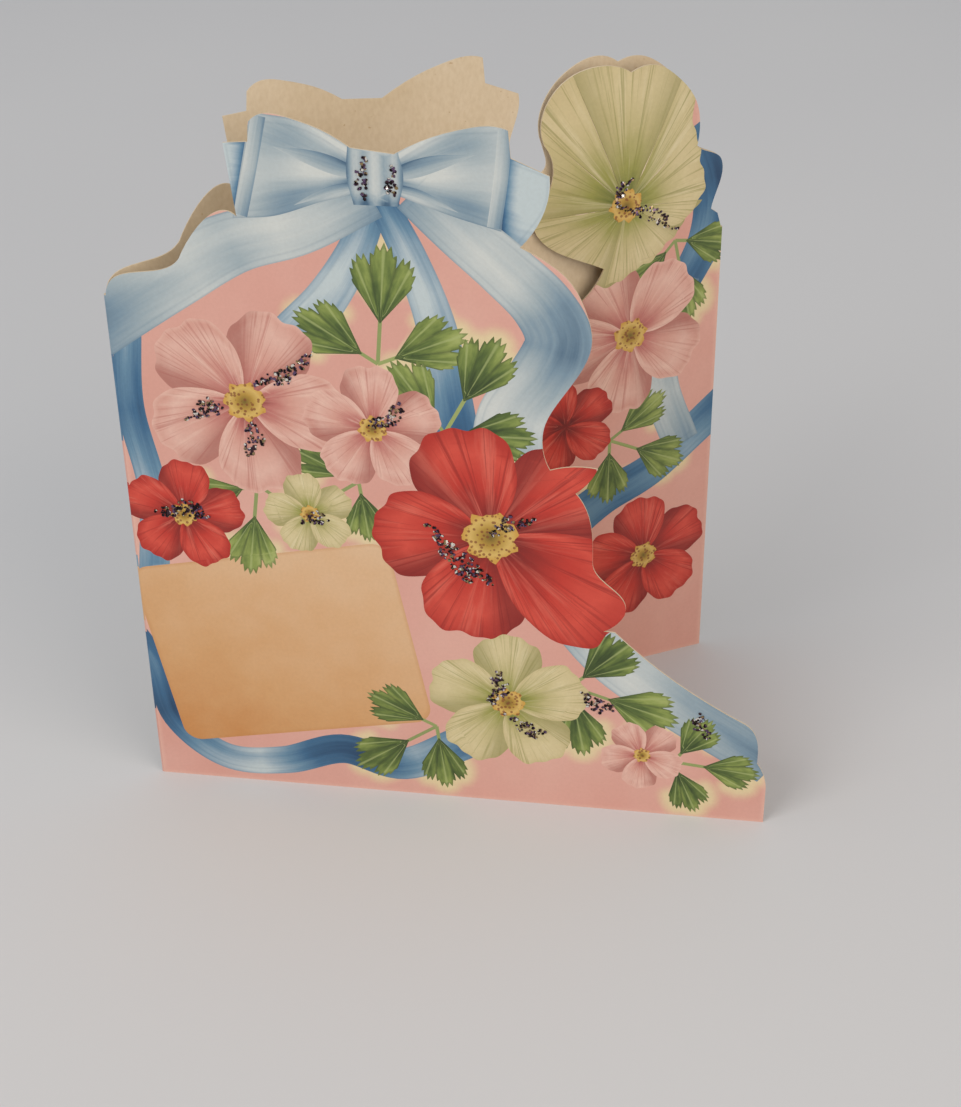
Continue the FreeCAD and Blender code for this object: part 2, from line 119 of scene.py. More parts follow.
# The leaves: cover, back leaf and flap.  Print lies on the outer side of the cover and of the flap,
# and is drawn here in each leaf's own millimetres: u from the spine, v up from the bottom edge.
card_width = 121.0
card_height = 139.7
stock = 0.3
ink = 0.06                       # the CAD model's print thickness, which the drawn print keeps
fleck_height = 0.3               # how far the CAD model's glitter stands out from the print
home = np.array([cad_box[1][0] * 1000 - card_width, cad_box[0][1] * 1000 + stock + ink + fleck_height])
opening_angle = math.radians(29.65)
turned = {"cover": 0.0, "flap": opening_angle}
crease_radius = 0.15             # inside of both creases
spine_height = 105.4             # how far the print runs up the spine crease
fold_height = 98.4               # the same at the flap's crease
flat_start = crease_radius / math.tan(opening_angle / 2)    # where a leaf is flat, beside the spine
flat_end = 120.55                # the same beside the flap's crease
flap_start = 76.5                # the flap's free edge, at its foot
flap_rise = (0.2, 4.3)           # how far the flap bows away, at the foot and at the top


def face_level(leaf, u, v):
    """Height of the leaf's printed face over the flat of its own crease line."""
    if leaf == "cover":
        return np.full(len(u), stock)
    bow = (1 - np.cos(2 * np.pi * (flat_end - u) / (flat_end - flap_start))) / 2
    rise = flap_rise[0] + (flap_rise[1] - flap_rise[0]) * v / card_height
    return 2 * crease_radius + rise * bow + stock


def stand(leaf, u, w, v):
    """Points of a leaf in the standing card, in metres; w is the leaf's normal."""
    cos, sin = math.cos(turned[leaf]), math.sin(turned[leaf])
    return np.column_stack([home[0] + u * cos + w * sin, home[1] + u * sin - w * cos, v]) / 1000


def printed_side(leaf):
    """Outline of the leaf's printed face in (u, v), read off the sheet's own mesh."""
    copy = bmesh.new()
    copy.from_mesh(sheet.data)
    bmesh.ops.remove_doubles(copy, verts=copy.verts, dist=1e-6)
    copy.verts.index_update()
    points = np.array([vertex.co[:] for vertex in copy.verts]) * 1000
    x, y, v = points[:, 0] - home[0], points[:, 1] - home[1], points[:, 2]
    cos, sin = math.cos(turned[leaf]), math.sin(turned[leaf])
    u, w = x * cos + y * sin, x * sin - y * cos
    reach = flat_start - 0.02 if leaf == "cover" else flap_start - 0.02
    lies = (np.abs(w - face_level(leaf, u, v)) < 0.09) & (u > reach)
    edges = set()
    for face in copy.faces:
        corners = [vertex.index for vertex in face.verts]
        if all(lies[corners]):
            edges.update(zip(corners, corners[1:] + corners[:1]))
    following = {a: b for a, b in edges if (b, a) not in edges}
    start = min(following)
    loop, here = [start], following[start]
    while here != start:
        loop.append(here)
        here = following[here]
    copy.free()
    return np.column_stack([u[loop], v[loop]])


side = {leaf: printed_side(leaf) for leaf in ("cover", "flap")}
drawn = {"cover": [], "flap": []}


def draw(leaf, name, outline, look, rimmed=True):
    """Draws one closed shape of a print piece on a leaf, over all that was drawn before it."""
    drawn[leaf].append((name, np.array(outline, float), look, rimmed))


def smooth_line(points, steps=10):
    """A smooth line through the points, as closely spaced points."""
    points = np.array(points, float)
    ends = np.vstack([2 * points[0] - points[1], points, 2 * points[-1] - points[-2]])
    line = []
    for k in range(1, len(ends) - 2):
        p0, p1, p2, p3 = ends[k - 1:k + 3]
        for t in np.arange(steps) / steps:
            line.append(0.5 * (2 * p1 + (p2 - p0) * t + (2 * p0 - 5 * p1 + 4 * p2 - p3) * t * t
                               + (3 * p1 - p0 - 3 * p2 + p3) * t ** 3))
    line.append(points[-1])
    return np.array(line)


# Every ink is the same kind of surface: litho ink, laid with a rubber blanket on coated card and
# dried hard.  It gives a soft sheen, a fine uneven mottle, and the card's faint tooth through it.
def lay_ink(tree, shader, colour, mottle=0.16):
    """Finishes an ink: mottle over the drawn colour, a rubbed sheen and the card's tooth."""
    spot = add(tree, "ShaderNodeTexCoord").outputs["Object"]
    grain = add(tree, "ShaderNodeTexNoise", {"Scale": 1500.0, "Detail": 2.0, "Roughness": 0.7},
                {"Vector": spot})
    grain_ramp = add(tree, "ShaderNodeValToRGB", links={0: grain.outputs["Fac"]},
                     stops=[(0.25, "C9C2BC"), (0.72, "FFFFFF")])
    inked = add(tree, "ShaderNodeMix", {0: mottle}, {6: colour, 7: grain_ramp.outputs[0]},
                data_type="RGBA", blend_type="MULTIPLY")
    tree.links.new(inked.outputs[2], shader.inputs["Base Color"])
    rub = add(tree, "ShaderNodeTexNoise", {"Scale": 60.0, "Detail": 3.0}, {"Vector": spot})
    sheen = add(tree, "ShaderNodeMapRange", {1: 0.3, 2: 0.7, 3: 0.42, 4: 0.60}, {0: rub.outputs["Fac"]})
    tree.links.new(sheen.outputs[0], shader.inputs["Roughness"])
    tooth = add(tree, "ShaderNodeBump", {"Strength": 0.12, "Distance": 0.00003},
                {"Height": grain.outputs["Fac"]})
    tree.links.new(tooth.outputs[0], shader.inputs["Normal"])


def drawn_on(tree):
    """What a print piece's mesh carries: across and along its shape, then its shade, rim and number."""
    spot = add(tree, "ShaderNodeUVMap", uv_map="drawing").outputs[0]
    apart = add(tree, "ShaderNodeSeparateXYZ", links={0: spot})
    carried = [add(tree, "ShaderNodeAttribute", attribute_name=name).outputs["Fac"]
               for name in ("shade", "rim", "number")]
    return [apart.outputs[0], apart.outputs[1], *carried]


def streaks(tree, across, along, number, fine, coarse):
    """A noise drawn out along the shape, with its own run for each shape."""
    wide = add(tree, "ShaderNodeMath", {1: fine}, {0: across}, operation="MULTIPLY")
    long = add(tree, "ShaderNodeMath", {1: coarse}, {0: along}, operation="MULTIPLY")
    own = add(tree, "ShaderNodeMath", {1: 17.0}, {0: number}, operation="MULTIPLY")
    place = add(tree, "ShaderNodeCombineXYZ",
                links={0: wide.outputs[0], 1: long.outputs[0], 2: own.outputs[0]})
    return add(tree, "ShaderNodeTexNoise", {"Scale": 1.0, "Detail": 3.0, "Roughness": 0.6},
               {"Vector": place.outputs[0]}).outputs["Fac"]


finishes = {}


# The ribbon: printed satin ribbon in two tones, drawn as a bow over the top of the card with its
# streamers hanging over both leaves.  The darker tone is the ribbon's turned and hidden side.
def satin_print(name, stops):
    """Printed satin: pale where it turns to the light and deep in its folds, with long soft streaks."""
    material, tree, shader = new_finish(name, IOR=1.5)
    across, along, shade, rim, number = drawn_on(tree)
    long_streak = streaks(tree, across, along, number, 3.2, 0.55)
    fine_streak = streaks(tree, across, along, number, 14.0, 0.7)
    broad = add(tree, "ShaderNodeMath", {1: 0.36, 2: -0.18}, {0: long_streak}, operation="MULTIPLY_ADD")
    fine = add(tree, "ShaderNodeMath", {1: 0.12, 2: -0.06}, {0: fine_streak}, operation="MULTIPLY_ADD")
    lit = add(tree, "ShaderNodeMath", links={0: shade, 1: broad.outputs[0]}, operation="ADD")
    lit = add(tree, "ShaderNodeMath", links={0: lit.outputs[0], 1: fine.outputs[0]}, operation="ADD")
    ramp = add(tree, "ShaderNodeValToRGB", links={0: lit.outputs[0]}, stops=stops)
    hem = add(tree, "ShaderNodeValToRGB", links={0: rim}, stops=[
        (0.0, "B0B0B0"), (0.55, "000000"), (0.14, "000000"), (0.34, "000000"), (0.43, "707070")])
    edged = add(tree, "ShaderNodeMix", {7: linear("4F7088")}, {0: hem.outputs[0], 6: ramp.outputs[0]},
                data_type="RGBA")
    lay_ink(tree, shader, edged.outputs[2])
    return material


finishes["ribbon_shade"] = satin_print("litho_satin_deep_blue", [
    (0.0, "1E4265"), (1.0, "BCC9CD"), (0.3, "38658A"), (0.55, "6489A3"), (0.78, "93A9B8")])
finishes["ribbon_light"] = satin_print("litho_satin_pale_blue", [
    (0.0, "41617C"), (1.0, "CBD0CE"), (0.25, "7891A3"), (0.5, "9CACB4"), (0.72, "B5BFC2")])


def ribbon(leaf, name, points, start_width, end_width, tones, rolled=False):
    """A ribbon along the points; tones runs from its start to its end, 0 deep to 1 pale.  A rolled hem
    has no hem lines of its own, and is only deeper on one side."""
    line = smooth_line(points)
    ahead = np.gradient(line, axis=0)
    ahead /= np.linalg.norm(ahead, axis=1)[:, None]
    aside = np.column_stack([-ahead[:, 1], ahead[:, 0]])
    half = np.linspace(start_width, end_width, len(line)) / 2
    run = np.concatenate([[0], np.cumsum(np.linalg.norm(np.diff(line, axis=0), axis=1))])
    outline = np.vstack([line + aside * half[:, None], (line - aside * half[:, None])[::-1]])
    stations = np.linspace(0, run[-1], len(tones))

    def look(u, v):
        gap = np.column_stack([u, v])[:, None] - line[None]
        nearest = (gap ** 2).sum(axis=2).argmin(axis=1)
        off = gap[np.arange(len(u)), nearest]
        across = (off * aside[nearest]).sum(axis=1) / half[nearest]
        along = run[nearest] + (off * ahead[nearest]).sum(axis=1)
        tone = np.interp(along, stations, tones)
        fold = -0.30 * across if rolled else 0.10 * np.cos(3.4 * across + 0.05 * along)
        return across, along / 10, tone + fold
    draw(leaf, name, outline, look, not rolled)


def joined(*stretches):
    """A closed outline from smooth stretches that follow each other."""
    return np.vstack([smooth_line(stretch)[:-1] for stretch in stretches])


knot = np.array([49.3, 129.4])   # where the loops are gathered


def bow_loop(name, outline, tone, folds, shadow_of=None):
    """One loop of the bow, gathered at the knot: its folds run out from there and fade.  The edge that
    casts a shadow on it is given by its two ends."""
    def look(u, v):
        out = np.hypot(u - knot[0], v - knot[1]) / 24
        angle = np.arctan2(v - knot[1], np.abs(u - knot[0]))
        fold = np.sin(folds * angle + 1.6 * out) * np.clip(1.15 - out, 0.12, 1) * 0.44
        roll = 0.13 * np.sin(9.0 * out - 1.5)
        gathered = 0.9 * np.clip(0.36 - out, 0, 1)
        underside = 0.9 * np.clip(-0.16 - angle, 0, 0.5)
        shadow = 0
        if shadow_of:
            (u0, v0), (u1, v1) = shadow_of
            gap = np.abs((u1 - u0) * (v - v0) - (v1 - v0) * (u - u0)) / math.hypot(u1 - u0, v1 - v0)
            shadow = 0.8 * np.exp(-gap / 1.3)
        return angle * 3, out * 2.4, tone + fold + roll - gathered - underside - shadow
    draw("cover", name, outline, look)


def gather(way, upper, lower):
    """A fold that runs out from the knot to a point: dark under its upper edge, and fading to the lower.
    The edges are given from the knot, for the right loop; way is -1 for the left one."""
    outline = knot + joined(upper, lower[::-1], [lower[0], upper[0]]) * [way, 1]
    top, low = smooth_line(upper), smooth_line(lower)

    def look(u, v):
        out, height = (u - knot[0]) * way, v - knot[1]
        top_here, low_here = np.interp(out, top[:, 0], top[:, 1]), np.interp(out, low[:, 0], low[:, 1])
        depth = np.clip((height - low_here) / np.maximum(top_here - low_here, 0.2), 0, 1)
        return depth, out / 10, 0.68 - 0.85 * depth * (1.15 - out / upper[-1][0])
    draw("cover", "ribbon_light", outline, look, False)


bow_loop("ribbon_shade", joined([(30.0, 136.0), (23.0, 135.4)], [(23.0, 135.4), (24.4, 120.6)],
                                [(24.4, 120.6), (30.0, 122.4)], [(30.0, 122.4), (30.0, 136.0)]), 1.0, 7.0,
         [(29.0, 139.8), (24.6, 121.0)])
bow_loop("ribbon_shade", joined([(70.0, 134.8), (79.6, 131.6)], [(79.6, 131.6), (78.6, 124.6), (73.6, 117.2)],
                                [(73.6, 117.2), (69.6, 114.6)], [(69.6, 114.6), (56.0, 123.6)],
                                [(56.0, 123.6), (70.0, 134.8)]), 1.0, 8.0, [(72.4, 139.4), (70.4, 120.8)])
ribbon("cover", "ribbon_shade", [(49.4, 126.0), (45.4, 116.0), (40.0, 107.0), (33.0, 98.6), (27.0, 89.0)],
       5.0, 10.0, [0.3, 0.7, 0.95, 0.85, 0.55, 0.3])
ribbon("cover", "ribbon_shade", [(50.0, 126.0), (55.0, 115.0), (58.8, 103.6), (60.6, 92.0), (62.0, 80.0)],
       5.0, 9.0, [0.25, 0.75, 0.95, 0.8, 0.45, 0.2])
ribbon("cover", "ribbon_shade", [(79.6, 74.0), (81.0, 65.0), (80.0, 56.0), (84.0, 46.0)], 13.0, 11.0,
       [0.2, 0.5, 0.7, 0.4])
ribbon("cover", "ribbon_shade", [(4.0, 101.0), (2.6, 84.0), (5.0, 66.0), (3.4, 47.0)], 5.0, 6.0,
       [0.6, 0.3, 0.8, 0.5])
ribbon("cover", "ribbon_shade", [(-3.4, 37.0), (1.6, 27.0), (4.6, 14.0), (14.0, 5.6), (26.0, 5.6),
                                 (38.0, 9.6), (50.0, 7.0), (63.0, 14.0)],
       5.0, 8.0, [0.3, 0.35, 0.05, 0.6, 0.95, 0.25, 0.05, 0.7, 0.4])
ribbon("flap", "ribbon_shade", [(112.6, 120.0), (117.8, 108.0), (117.2, 97.0), (111.0, 86.0)], 9.0, 8.0,
       [0.35, 0.1, 0.45, 0.15])
ribbon("flap", "ribbon_shade", [(86.0, 36.0), (96.0, 43.6), (108.0, 48.6), (121.0, 58.0), (127.0, 63.4)],
       9.0, 8.0, [0.6, 0.3, 0.6, 0.2])

ribbon("cover", "ribbon_light", [(56.0, 127.5), (63.5, 120.5), (71.0, 114.0), (77.4, 107.6), (80.2, 101.0),
                                 (77.4, 93.6), (72.6, 86.0), (71.6, 78.0)], 9.0, 14.0,
       [0.3, 0.6, 0.85, 0.8, 0.3, 0.2, 0.6, 0.9, 0.5])
ribbon("cover", "ribbon_light", [(48.6, 126.0), (36.0, 119.8), (24.0, 116.4), (12.0, 109.6), (1.0, 103.0),
                                 (-7.0, 98.2)], 8.0, 16.0, [0.3, 0.7, 0.9, 0.6, 0.85, 0.6, 0.3, 0.1])
ribbon("cover", "ribbon_light", [(82.0, 48.0), (91.0, 36.2), (103.0, 26.6), (115.0, 18.6), (122.0, 14.0)],
       12.0, 10.0, [0.3, 0.75, 0.85, 0.5, 0.35, 0.2])
ribbon("flap", "ribbon_light", [(112.6, 90.0), (107.6, 78.0), (108.6, 66.0), (114.0, 52.0)], 8.0, 8.0,
       [0.2, 0.5, 0.75, 0.35])
bow_loop("ribbon_light", joined([(46.5, 133.9), (38.0, 138.4), (29.0, 139.8)],
                                [(29.0, 139.8), (24.6, 121.0)],
                                [(24.6, 121.0), (32.0, 121.8), (40.0, 124.6), (46.5, 126.4)],
                                [(46.5, 126.4), (46.5, 133.9)]), 0.70, 9.0)
bow_loop("ribbon_light", joined([(52.4, 133.4), (61.0, 138.2), (72.4, 139.4)],
                                [(72.4, 139.4), (70.4, 120.8)],
                                [(70.4, 120.8), (62.0, 123.2), (52.4, 126.6)],
                                [(52.4, 126.6), (52.4, 133.4)]), 0.72, 9.5)
for way in (-1, 1):               # left loop, then right
    gather(way, [(3.4, 1.8), (7.0, 3.4), (11.0, 4.3), (17.0, 4.6)],
           [(3.4, -0.4), (7.0, 0.2), (11.0, 1.7), (17.0, 4.6)])
    gather(way, [(3.4, -1.0), (7.0, -1.7), (10.0, -3.0), (14.0, -5.6)],
           [(3.4, -2.4), (7.0, -3.2), (10.0, -4.3), (14.0, -5.6)])
for hem in ([(30.4, 139.2), (28.2, 130.0), (26.0, 121.6)], [(71.2, 138.9), (70.4, 130.0), (69.2, 121.4)]):
    ribbon("cover", "ribbon_light", hem, 2.4, 2.4, [0.45, 0.7, 0.4], True)


def knot_look(u, v):
    """The knot: a short wrap of ribbon with upright pleats, deepest at its two sides and where it turns
    under at its foot."""
    across = (u - 49.4) / 4.6
    turned_under = 0.5 * np.clip((126.8 - v) / 2, 0, 1)
    return across, (v - 129.4) / 10, 0.68 - 0.34 * across ** 2 + 0.22 * np.cos(9.0 * across) - turned_under


draw("cover", "ribbon_light", joined([(45.0, 134.8), (53.4, 134.0)],
                                     [(53.4, 134.0), (54.2, 129.4), (53.2, 124.4)],
                                     [(53.2, 124.4), (45.6, 124.4)],
                                     [(45.6, 124.4), (44.6, 129.4), (45.0, 134.8)]),
     knot_look, False)


# The label: a plain rounded label printed in a tint of orange, with nothing on it.
label_centre = np.array([27.5, 33.5])
label_size = np.array([51.0, 41.0])
label_corner = 3.5
label_turn = math.radians(11.0)


def label_outline():
    """Four rounded corners, anticlockwise from the upper right."""
    points = []
    for quarter, (side_x, side_y) in enumerate([(1, 1), (-1, 1), (-1, -1), (1, -1)]):
        centre = np.array([side_x, side_y]) * (label_size / 2 - label_corner)
        for step in range(9):
            angle = math.radians(90 * quarter + 90 * step / 8)
            points.append(centre + label_corner * np.array([math.cos(angle), math.sin(angle)]))
    cos, sin = math.cos(label_turn), math.sin(label_turn)
    return np.array(points) @ np.array([[cos, sin], [-sin, cos]]) + label_centre


def label_look(u, v):
    """Across and along the label from -1 to 1, with its glow from lower left to upper right."""
    cos, sin = math.cos(label_turn), math.sin(label_turn)
    across = ((u - label_centre[0]) * cos + (v - label_centre[1]) * sin) / (label_size[0] / 2)
    along = ((v - label_centre[1]) * cos - (u - label_centre[0]) * sin) / (label_size[1] / 2)
    return across, along, 0.5 + 0.22 * across + 0.26 * along


draw("cover", "label_field", label_outline(), label_look)

# A litho tint: cream orange that deepens to the lower left, clouded as old sized paper is.
material, tree, shader = new_finish("litho_tint_cream_orange", IOR=1.5)
across, along, shade, rim, number = drawn_on(tree)
cloud = streaks(tree, across, along, number, 2.4, 2.0)
drift = add(tree, "ShaderNodeMath", {1: 0.5, 2: -0.25}, {0: cloud}, operation="MULTIPLY_ADD")
tint = add(tree, "ShaderNodeMath", links={0: shade, 1: drift.outputs[0]}, operation="ADD")
ramp = add(tree, "ShaderNodeValToRGB", links={0: tint.outputs[0]},
           stops=[(0.0, "C4884E"), (1.0, "DAB894"), (0.35, "CE9E6C"), (0.65, "D5AC82")])
edge = add(tree, "ShaderNodeMapRange", {1: 0.0, 2: 0.25, 3: 0.35, 4: 0.0}, {0: rim})
edged = add(tree, "ShaderNodeMix", {7: linear("BC7E46")}, {0: edge.outputs[0], 6: ramp.outputs[0]},
            data_type="RGBA")
lay_ink(tree, shader, edged.outputs[2])
finishes["label_field"] = material


# The leaf sprays: fan-shaped leaves with toothed lobes in olive greens, three to a stem, with a pale
# glow left round them in the ground.
leaf_shoulder = 0.6              # place of a leaf's widest part, as a share of its length
leaf_fullness = 0.78             # width there, as a share of the same length
leaf_spread = 62                 # degrees between a spray's side leaves and its stem
stalk_width = 0.7
leaf_places = {"cover": [], "flap": []}


def foliage_leaf(leaf, u, v, angle, length):
    """One leaf: straight sides from its foot, and a round end cut into three toothed lobes."""
    heading = math.radians(angle)
    widest = 1.08 * math.atan2(leaf_fullness / 2, leaf_shoulder)
    flank = math.hypot(leaf_fullness / 2, leaf_shoulder)
    base = np.array([u, v])

    def reach(across):
        round_end = flank + (1 - flank) * np.cos(np.pi / 2 * across)
        lobes = 0.80 + 0.20 * np.abs(np.cos(1.5 * np.pi * across)) ** 0.5
        return length * round_end * lobes
    across = np.linspace(-1, 1, 85)
    teeth = 1 - 0.10 * np.abs((across * 7.0 + 0.5) % 1 * 2 - 1)
    turn = heading + widest * across
    rim = base + np.column_stack([np.cos(turn), np.sin(turn)]) * (reach(across) * teeth)[:, None]
    leaf_places[leaf].append(rim)

    def look(u, v):
        off_u, off_v = u - base[0], v - base[1]
        swing = (np.arctan2(off_v, off_u) - heading + np.pi) % (2 * np.pi) - np.pi
        side = np.clip(swing / widest, -1, 1)
        return side, np.hypot(off_u, off_v) / reach(side), np.full(len(u), (1.3 * angle + u[0]) % 1)
    draw(leaf, "leaf_sprays", np.vstack([base, rim]), look)


def sprig(leaf, u, v, angle, length):
    """Three leaves on thin stalks: one ahead and a pair that spreads from the stem."""
    for turn, start, share in ((0, 0.34, 0.66), (-leaf_spread, 0.14, 0.62), (leaf_spread, 0.14, 0.62)):
        ahead = np.array([math.cos(math.radians(angle + turn)), math.sin(math.radians(angle + turn))])
        aside = np.array([-ahead[1], ahead[0]]) * stalk_width / 2
        foot, foliage = np.array([u, v]), np.array([u, v]) + ahead * length * start
        stalk_end = foliage + ahead * length * share * 0.3
        stalk = [foot - aside, stalk_end - aside, stalk_end + aside, foot + aside]
        draw(leaf, "leaf_sprays", stalk, stalk_look, False)
        foliage_leaf(leaf, foliage[0], foliage[1], angle + turn, length * share)


def stalk_look(u, v):
    """A stalk is as pale as a leaf's ribs."""
    return np.zeros(len(u)), np.full(len(u), 0.5), np.full(len(u), 0.5)


for place in ((48.5, 95.0, 85, 23.0), (60.0, 82.0, 62, 22.0), (25.0, 69.0, 262, 20.0),
              (44.0, 71.0, 215, 17.0), (83.0, 29.0, -18, 22.0), (57.0, 17.0, 215, 20.0),
              (103.0, 13.0, -6, 17.0)):
    sprig("cover", *place)
for place in ((110.0, 98.0, -76, 19.0), (97.0, 57.0, -28, 20.0)):
    sprig("flap", *place)

# Olive greens of litho ink: deep at the foot, yellow green at the teeth, with a pale rib to each lobe.
material, tree, shader = new_finish("litho_leaf_greens", IOR=1.5)
across, along, shade, rim, number = drawn_on(tree)
blotch = streaks(tree, across, along, number, 2.6, 1.6)
outward = add(tree, "ShaderNodeMath", {1: 0.34, 2: -0.20}, {0: along}, operation="MULTIPLY_ADD")
own_tone = add(tree, "ShaderNodeMath", {1: 0.22}, {0: shade, 2: outward.outputs[0]}, operation="MULTIPLY_ADD")
green = add(tree, "ShaderNodeMath", links={0: blotch, 1: own_tone.outputs[0]}, operation="ADD")
ramp = add(tree, "ShaderNodeValToRGB", links={0: green.outputs[0]},
           stops=[(0.34, "34461F"), (0.95, "A3AE68"), (0.52, "51652E"), (0.66, "6E803D"), (0.80, "8A994F")])
swing = add(tree, "ShaderNodeMath", {1: 1.5 * math.pi}, {0: across}, operation="MULTIPLY")
lobe_wave = add(tree, "ShaderNodeMath", links={0: swing.outputs[0]}, operation="COSINE")
lobe = add(tree, "ShaderNodeMath", links={0: lobe_wave.outputs[0]}, operation="ABSOLUTE")
rib = add(tree, "ShaderNodeMapRange", {1: 0.975, 2: 0.998, 3: 0.0, 4: 0.55}, {0: lobe.outputs[0]})
ribbed = add(tree, "ShaderNodeMix", {7: linear("A9B576")}, {0: rib.outputs[0], 6: ramp.outputs[0]},
             data_type="RGBA")
cleft = add(tree, "ShaderNodeMapRange", {1: 0.0, 2: 0.4, 3: 0.55, 4: 0.0}, {0: lobe.outputs[0]})
folded = add(tree, "ShaderNodeMix", {7: linear("2C3D1C")}, {0: cleft.outputs[0], 6: ribbed.outputs[2]},
             data_type="RGBA")
edge = add(tree, "ShaderNodeMapRange", {1: 0.0, 2: 0.10, 3: 0.45, 4: 0.0}, {0: rim})
edged = add(tree, "ShaderNodeMix", {7: linear("33451D")}, {0: edge.outputs[0], 6: folded.outputs[2]},
            data_type="RGBA")
lay_ink(tree, shader, edged.outputs[2])
finishes["leaf_sprays"] = material


# The blossoms: plain open flowers of five ruffled petals, drawn in pink, in red and in a pale
# yellow green.  Each petal lies partly under the next and is darker there and in its throat.
cleft_share = 0.3                # depth of the cleft between two petals, as a share of their length
dome_cleft = 0.03                # the same for the blossom that fills the flap's dome
heart_share = 0.2                # radius of a blossom's heart, as a share of its petals' length
overlap = 1.32                   # a petal's width, as a share of its fifth of the round


def petal_reach(aside, share, foot, next_foot, ruffle):
    """How far a petal reaches at a place beside its middle, as a share of the blossom's length."""
    side_foot = np.where(aside < 0, foot, next_foot)
    edge = 1 + 0.020 * np.sin(8.0 * aside + ruffle) + 0.013 * np.sin(17.0 * aside + 2.3 * ruffle)
    return (share - (share - side_foot) * np.abs(aside) ** 3) * edge


def petal(leaf, name, centre, length, heading, step, share, foot, next_foot, ruffle, under):
    """One petal; under tells which of its sides lie beneath a neighbour."""
    aside = np.linspace(-overlap, overlap, 61)
    reach = length * petal_reach(aside, share, foot, next_foot, ruffle)
    angle = heading + aside * step / 2
    rim = centre + np.column_stack([np.cos(angle), np.sin(angle)]) * reach[:, None]

    def look(u, v):
        off_u, off_v = u - centre[0], v - centre[1]
        turn = (np.arctan2(off_v, off_u) - heading + np.pi) % (2 * np.pi) - np.pi
        side = np.clip(turn / (step / 2), -overlap, overlap)
        along = np.hypot(off_u, off_v) / (length * petal_reach(side, share, foot, next_foot, ruffle))
        hidden = sum(np.clip((side * way - 0.22) / 0.5, 0, 1) ** 1.5 for way in under)
        return side, along, np.clip(hidden, 0, 1) if under else np.zeros(len(u))
    draw(leaf, name, np.vstack([centre, rim]), look)


def blossom(leaf, name, u, v, length, turn, lengths=(1, 1, 1, 1, 1), cleft=cleft_share):
    """Five petals round a centre, drawn one over the other."""
    step = 2 * math.pi / len(lengths)
    for k, share in enumerate(lengths):
        foot = (share + lengths[k - 1]) / 2 * (1 - cleft)
        next_foot = (share + lengths[(k + 1) % len(lengths)]) / 2 * (1 - cleft)
        under = [way for way, hidden in ((1, k < len(lengths) - 1), (-1, k == 0)) if hidden]
        petal(leaf, name, np.array([u, v]), length, math.radians(turn) + step * k, step, share, foot,
              next_foot, 1.7 * k + u, under)


def heart(leaf, u, v, length):
    """The round, ragged heart of a blossom."""
    radius = length * heart_share
    angle = np.linspace(0, 2 * np.pi, 41)[:-1]
    edge = radius * (1 + 0.10 * np.sin(7 * angle + u) + 0.07 * np.sin(12 * angle))

    def look(a, b):
        return (a - u) / radius, (b - v) / radius, np.hypot(a - u, b - v) / radius
    draw(leaf, "blossom_hearts", np.column_stack([u + edge * np.cos(angle), v + edge * np.sin(angle)]), look)


def petal_print(name, along_stops, under_colour, vein_colour, vein_share, light_colour, rim_colour,
                rim_depth):
    """A petal's print: deep in the throat, streaked from there to the rim with fine veins."""
    material, tree, shader = new_finish(name, IOR=1.5)
    across, along, shade, rim, number = drawn_on(tree)
    wander = streaks(tree, across, along, number, 1.6, 1.8)
    drift = add(tree, "ShaderNodeMath", {1: 0.44, 2: -0.22}, {0: wander}, operation="MULTIPLY_ADD")
    depth = add(tree, "ShaderNodeMath", links={0: along, 1: drift.outputs[0]}, operation="ADD")
    ramp = add(tree, "ShaderNodeValToRGB", links={0: depth.outputs[0]}, stops=along_stops)
    glow = streaks(tree, across, along, number, 4.5, 1.1)
    glow_share = add(tree, "ShaderNodeMapRange", {1: 0.52, 2: 0.72, 3: 0.0, 4: 0.6}, {0: glow})
    lit = add(tree, "ShaderNodeMix", {7: linear(light_colour)},
              {0: glow_share.outputs[0], 6: ramp.outputs[0]}, data_type="RGBA")
    vein = streaks(tree, across, along, number, 21.0, 0.8)
    vein_line = add(tree, "ShaderNodeMapRange", {1: 0.54, 2: 0.66, 3: 0.0, 4: vein_share}, {0: vein})
    veined = add(tree, "ShaderNodeMix", {7: linear(vein_colour)},
                 {0: vein_line.outputs[0], 6: lit.outputs[2]}, data_type="RGBA")
    edge = add(tree, "ShaderNodeMapRange", {1: 0.0, 2: 0.3, 3: rim_depth, 4: 0.0}, {0: rim})
    edged = add(tree, "ShaderNodeMix", {7: linear(rim_colour)}, {0: edge.outputs[0], 6: veined.outputs[2]},
                data_type="RGBA")
    hidden = add(tree, "ShaderNodeMath", {1: 0.72}, {0: shade}, operation="MULTIPLY")
    shaded = add(tree, "ShaderNodeMix", {7: linear(under_colour)},
                 {0: hidden.outputs[0], 6: edged.outputs[2]}, data_type="RGBA")
    lay_ink(tree, shader, shaded.outputs[2])
    return material


finishes["pink_blossoms"] = petal_print(
    "litho_petal_rose_pink",
    [(0.05, "8A3A38"), (1.0, "D09A8C"), (0.25, "BA726A"), (0.5, "D29C8E"), (0.78, "DDB2A4")],
    "A0594F", "AF655C", 0.5, "E8C6B6", "E6C0B1", 0.5)
finishes["red_blossoms"] = petal_print(
    "litho_petal_scarlet",
    [(0.05, "520D0E"), (1.0, "B32E22"), (0.25, "8E2018"), (0.5, "BE3427"), (0.78, "D04B3B")],
    "721512", "8C1A14", 0.6, "DF7563", "A52519", 0.35)
finishes["pale_blossoms"] = petal_print(
    "litho_petal_yellow_green",
    [(0.05, "5F6A26"), (1.0, "CDBE92"), (0.25, "98984E"), (0.5, "C0B582"), (0.78, "D2C498")],
    "96905A", "8A8746", 0.6, "DFD3AE", "B8AC74", 0.3)

